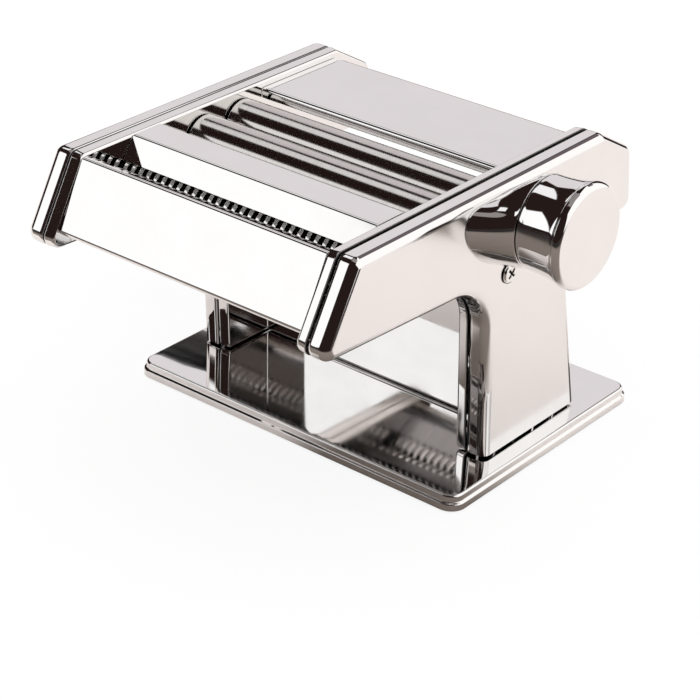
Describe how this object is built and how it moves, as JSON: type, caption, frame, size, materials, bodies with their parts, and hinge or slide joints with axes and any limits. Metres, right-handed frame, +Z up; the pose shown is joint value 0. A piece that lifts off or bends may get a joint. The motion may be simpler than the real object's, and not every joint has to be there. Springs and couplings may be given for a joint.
{
  "type": "hand cranked pasta maker",
  "caption": "Table-top pasta maker: smooth rolls with a thickness knob, ribbon cutters with combs, polished side casings on a base, and a turning crank.",
  "frame": {"origin": "middle of the machine's overall footprint, on the table under the feet", "axes": "+X along the rolls towards the thickness knob, +Y towards the back where the dough goes in, so -Y is the cutter front, +Z up"},
  "size_m": [0.3492, 0.2424, 0.1701],
  "materials": {
    "chromed_steel": "polished mirror chrome",
    "nickel_plated_steel": "plated, bright",
    "gear_steel": "plain, oiled",
    "bearing_acetal": "matte, off white",
    "foot_rubber": "matte, black",
    "grip_plastic": "smooth, black"
  },
  "bodies": {
    "frame": {"back_panel": "chromed_steel", "base_plate": "chromed_steel", "base_screw_front_crank_side": "nickel_plated_steel", "base_screw_front_knob_side": "nickel_plated_steel", "base_screw_rear_crank_side": "nickel_plated_steel", "base_screw_rear_knob_side": "nickel_plated_steel", "cover_screw_crank_side": "chromed_steel", "cover_screw_knob_side": "chromed_steel", "foot_front_crank_side": "foot_rubber", "foot_front_knob_side": "foot_rubber", "foot_rear_crank_side": "foot_rubber", "foot_rear_knob_side": "foot_rubber", "front_comb": "nickel_plated_steel", "front_cutter_bush_crank_side": "bearing_acetal", "front_cutter_bush_knob_side": "bearing_acetal", "front_hood": "chromed_steel", "front_roll_bush_crank_side": "bearing_acetal", "front_roll_bush_knob_side": "bearing_acetal", "front_scraper": "nickel_plated_steel", "index_pin": "nickel_plated_steel", "knob_boss": "chromed_steel", "rear_comb": "nickel_plated_steel", "rear_cutter_bush_crank_side": "bearing_acetal", "rear_cutter_bush_knob_side": "bearing_acetal", "rear_guard": "chromed_steel", "side_cover_crank_side": "chromed_steel", "side_cover_knob_side": "chromed_steel", "side_frame_crank_side": "chromed_steel", "side_frame_knob_side": "chromed_steel", "tie_nut_front_crank_side": "nickel_plated_steel", "tie_nut_front_knob_side": "nickel_plated_steel", "tie_nut_rear_crank_side": "nickel_plated_steel", "tie_nut_rear_knob_side": "nickel_plated_steel", "tie_rod_front": "nickel_plated_steel", "tie_rod_middle": "nickel_plated_steel", "tie_rod_rear": "nickel_plated_steel", "top_strip": "chromed_steel"},
    "front_roll": {"front_roll": "nickel_plated_steel", "front_roll_gear": "gear_steel"},
    "rear_carriage": {"roll_slide_crank_side": "bearing_acetal", "roll_slide_knob_side": "bearing_acetal", "rear_scraper": "nickel_plated_steel"},
    "rear_roll": {"rear_roll": "nickel_plated_steel", "rear_roll_gear": "gear_steel"},
    "front_cutter": {"front_cutter": "nickel_plated_steel", "front_cutter_gear": "gear_steel"},
    "rear_cutter": {"rear_cutter": "nickel_plated_steel", "rear_cutter_gear": "gear_steel"},
    "regulator": {"knob_spindle": "nickel_plated_steel", "knob_retainer": "nickel_plated_steel", "knob_spring": "nickel_plated_steel"},
    "knob": {"thickness_dial": "chromed_steel", "knob_cap": "chromed_steel"},
    "crank": {"crank_arm": "chromed_steel", "crank_grip_nut": "chromed_steel"},
    "grip": {"crank_grip": "grip_plastic"}
  },
  "joints": [
    {"name": "front_roll_spin", "type": "hinge", "parent": "frame", "child": "front_roll", "pos_m": [0.0333, -0.01507, 0.1393], "axis": [1, 0, 0], "continuous": true},
    {"name": "carriage_slide", "type": "slide", "parent": "frame", "child": "rear_carriage", "axis": [0, -1, 0], "range_m": [0, 0.0023]},
    {"name": "rear_roll_spin", "type": "hinge", "parent": "rear_carriage", "child": "rear_roll", "pos_m": [0.0333, 0.01353, 0.1393], "axis": [1, 0, 0], "continuous": true},
    {"name": "front_cutter_spin", "type": "hinge", "parent": "frame", "child": "front_cutter", "pos_m": [0.0333, -0.08382, 0.1374], "axis": [1, 0, 0], "continuous": true},
    {"name": "rear_cutter_spin", "type": "hinge", "parent": "frame", "child": "rear_cutter", "pos_m": [0.0333, -0.06682, 0.1374], "axis": [1, 0, 0], "continuous": true},
    {"name": "knob_turn", "type": "hinge", "parent": "frame", "child": "regulator", "pos_m": [0.1433, 0.01238, 0.1437], "axis": [1, 0, 0], "range_deg": [0, 180]},
    {"name": "knob_pull", "type": "slide", "parent": "regulator", "child": "knob", "axis": [1, 0, 0], "range_m": [0, 0.004], "stiffness_N_per_m": 900, "springref_m": -0.003, "deforming": ["knob_spring"]},
    {"name": "crank_pull", "type": "slide", "parent": "front_roll", "child": "crank", "axis": [-1, 0, 0], "range_m": [0, 0.02]},
    {"name": "grip_spin", "type": "hinge", "parent": "crank", "child": "grip", "pos_m": [-0.1267, 0.05265, 0.05262], "axis": [1, 0, 0], "continuous": true}
  ],
  "couplings": [
    {"joint": "rear_roll_spin", "follows": "front_roll_spin", "ratio": -1},
    {"joint": "rear_cutter_spin", "follows": "front_cutter_spin", "ratio": -1},
    {"joint": "carriage_slide", "follows": "knob_turn", "m_per_rad": 0.000732}
  ]
}
